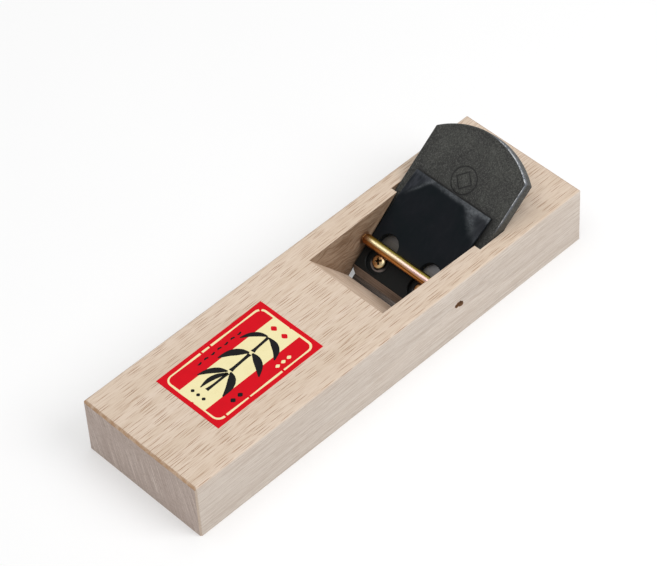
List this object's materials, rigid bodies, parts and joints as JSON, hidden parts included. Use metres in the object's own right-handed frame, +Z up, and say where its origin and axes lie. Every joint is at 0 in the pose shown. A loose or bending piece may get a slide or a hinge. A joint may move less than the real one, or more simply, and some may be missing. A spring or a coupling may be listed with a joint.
{
  "type": "hand plane",
  "caption": "Low wooden pull plane: an oak block with a sloping throat, a thick arched iron carrying a thin blade, a chipbreaker and a press bar.",
  "frame": {"origin": "middle of the sole", "axes": "+X towards the toe, the way the plane is pulled; +Y towards its right side; +Z up from the sole"},
  "size_m": [0.18, 0.054, 0.043],
  "materials": {
    "oak": "bare, planed",
    "forged_iron": "dark scale, fine pebbled",
    "ground_steel": "ground",
    "blued_steel": "blued, satin",
    "yellow_zinc": "yellow zinc plate, glossy",
    "pin_steel": "drawn wire",
    "label_paper": "printed coated paper"
  },
  "bodies": {
    "block": {"plane_body": "oak", "press_bar_pin": "pin_steel", "paper_label": "label_paper"},
    "iron": {"iron_holder": "forged_iron", "cutting_blade": "ground_steel"},
    "cap": {"chipbreaker": "blued_steel"},
    "screw_left": {"clamp_screw_left": "yellow_zinc"},
    "screw_right": {"clamp_screw_right": "yellow_zinc"},
    "press_bar": {"press_bar_sleeve": "yellow_zinc"}
  },
  "joints": [
    {"name": "iron_slide", "type": "slide", "parent": "block", "child": "iron", "axis": [-0.788, 0, 0.6157], "range_m": [-0.0014, 0.044]},
    {"name": "chipbreaker_slide", "type": "slide", "parent": "iron", "child": "cap", "axis": [-0.788, 0, 0.6157], "range_m": [-0.0009, 0.0014]},
    {"name": "screw_left_turn", "type": "hinge", "parent": "iron", "child": "screw_left", "pos_m": [-0.02944, -0.0099, 0.008], "axis": [0.6157, 0, 0.788], "continuous": true},
    {"name": "screw_right_turn", "type": "hinge", "parent": "iron", "child": "screw_right", "pos_m": [-0.02944, 0.0099, 0.008], "axis": [0.6157, 0, 0.788], "continuous": true},
    {"name": "press_bar_roll", "type": "hinge", "parent": "block", "child": "press_bar", "pos_m": [-0.02968, 0, 0.01453], "axis": [0, 1, 0], "continuous": true}
  ]
}
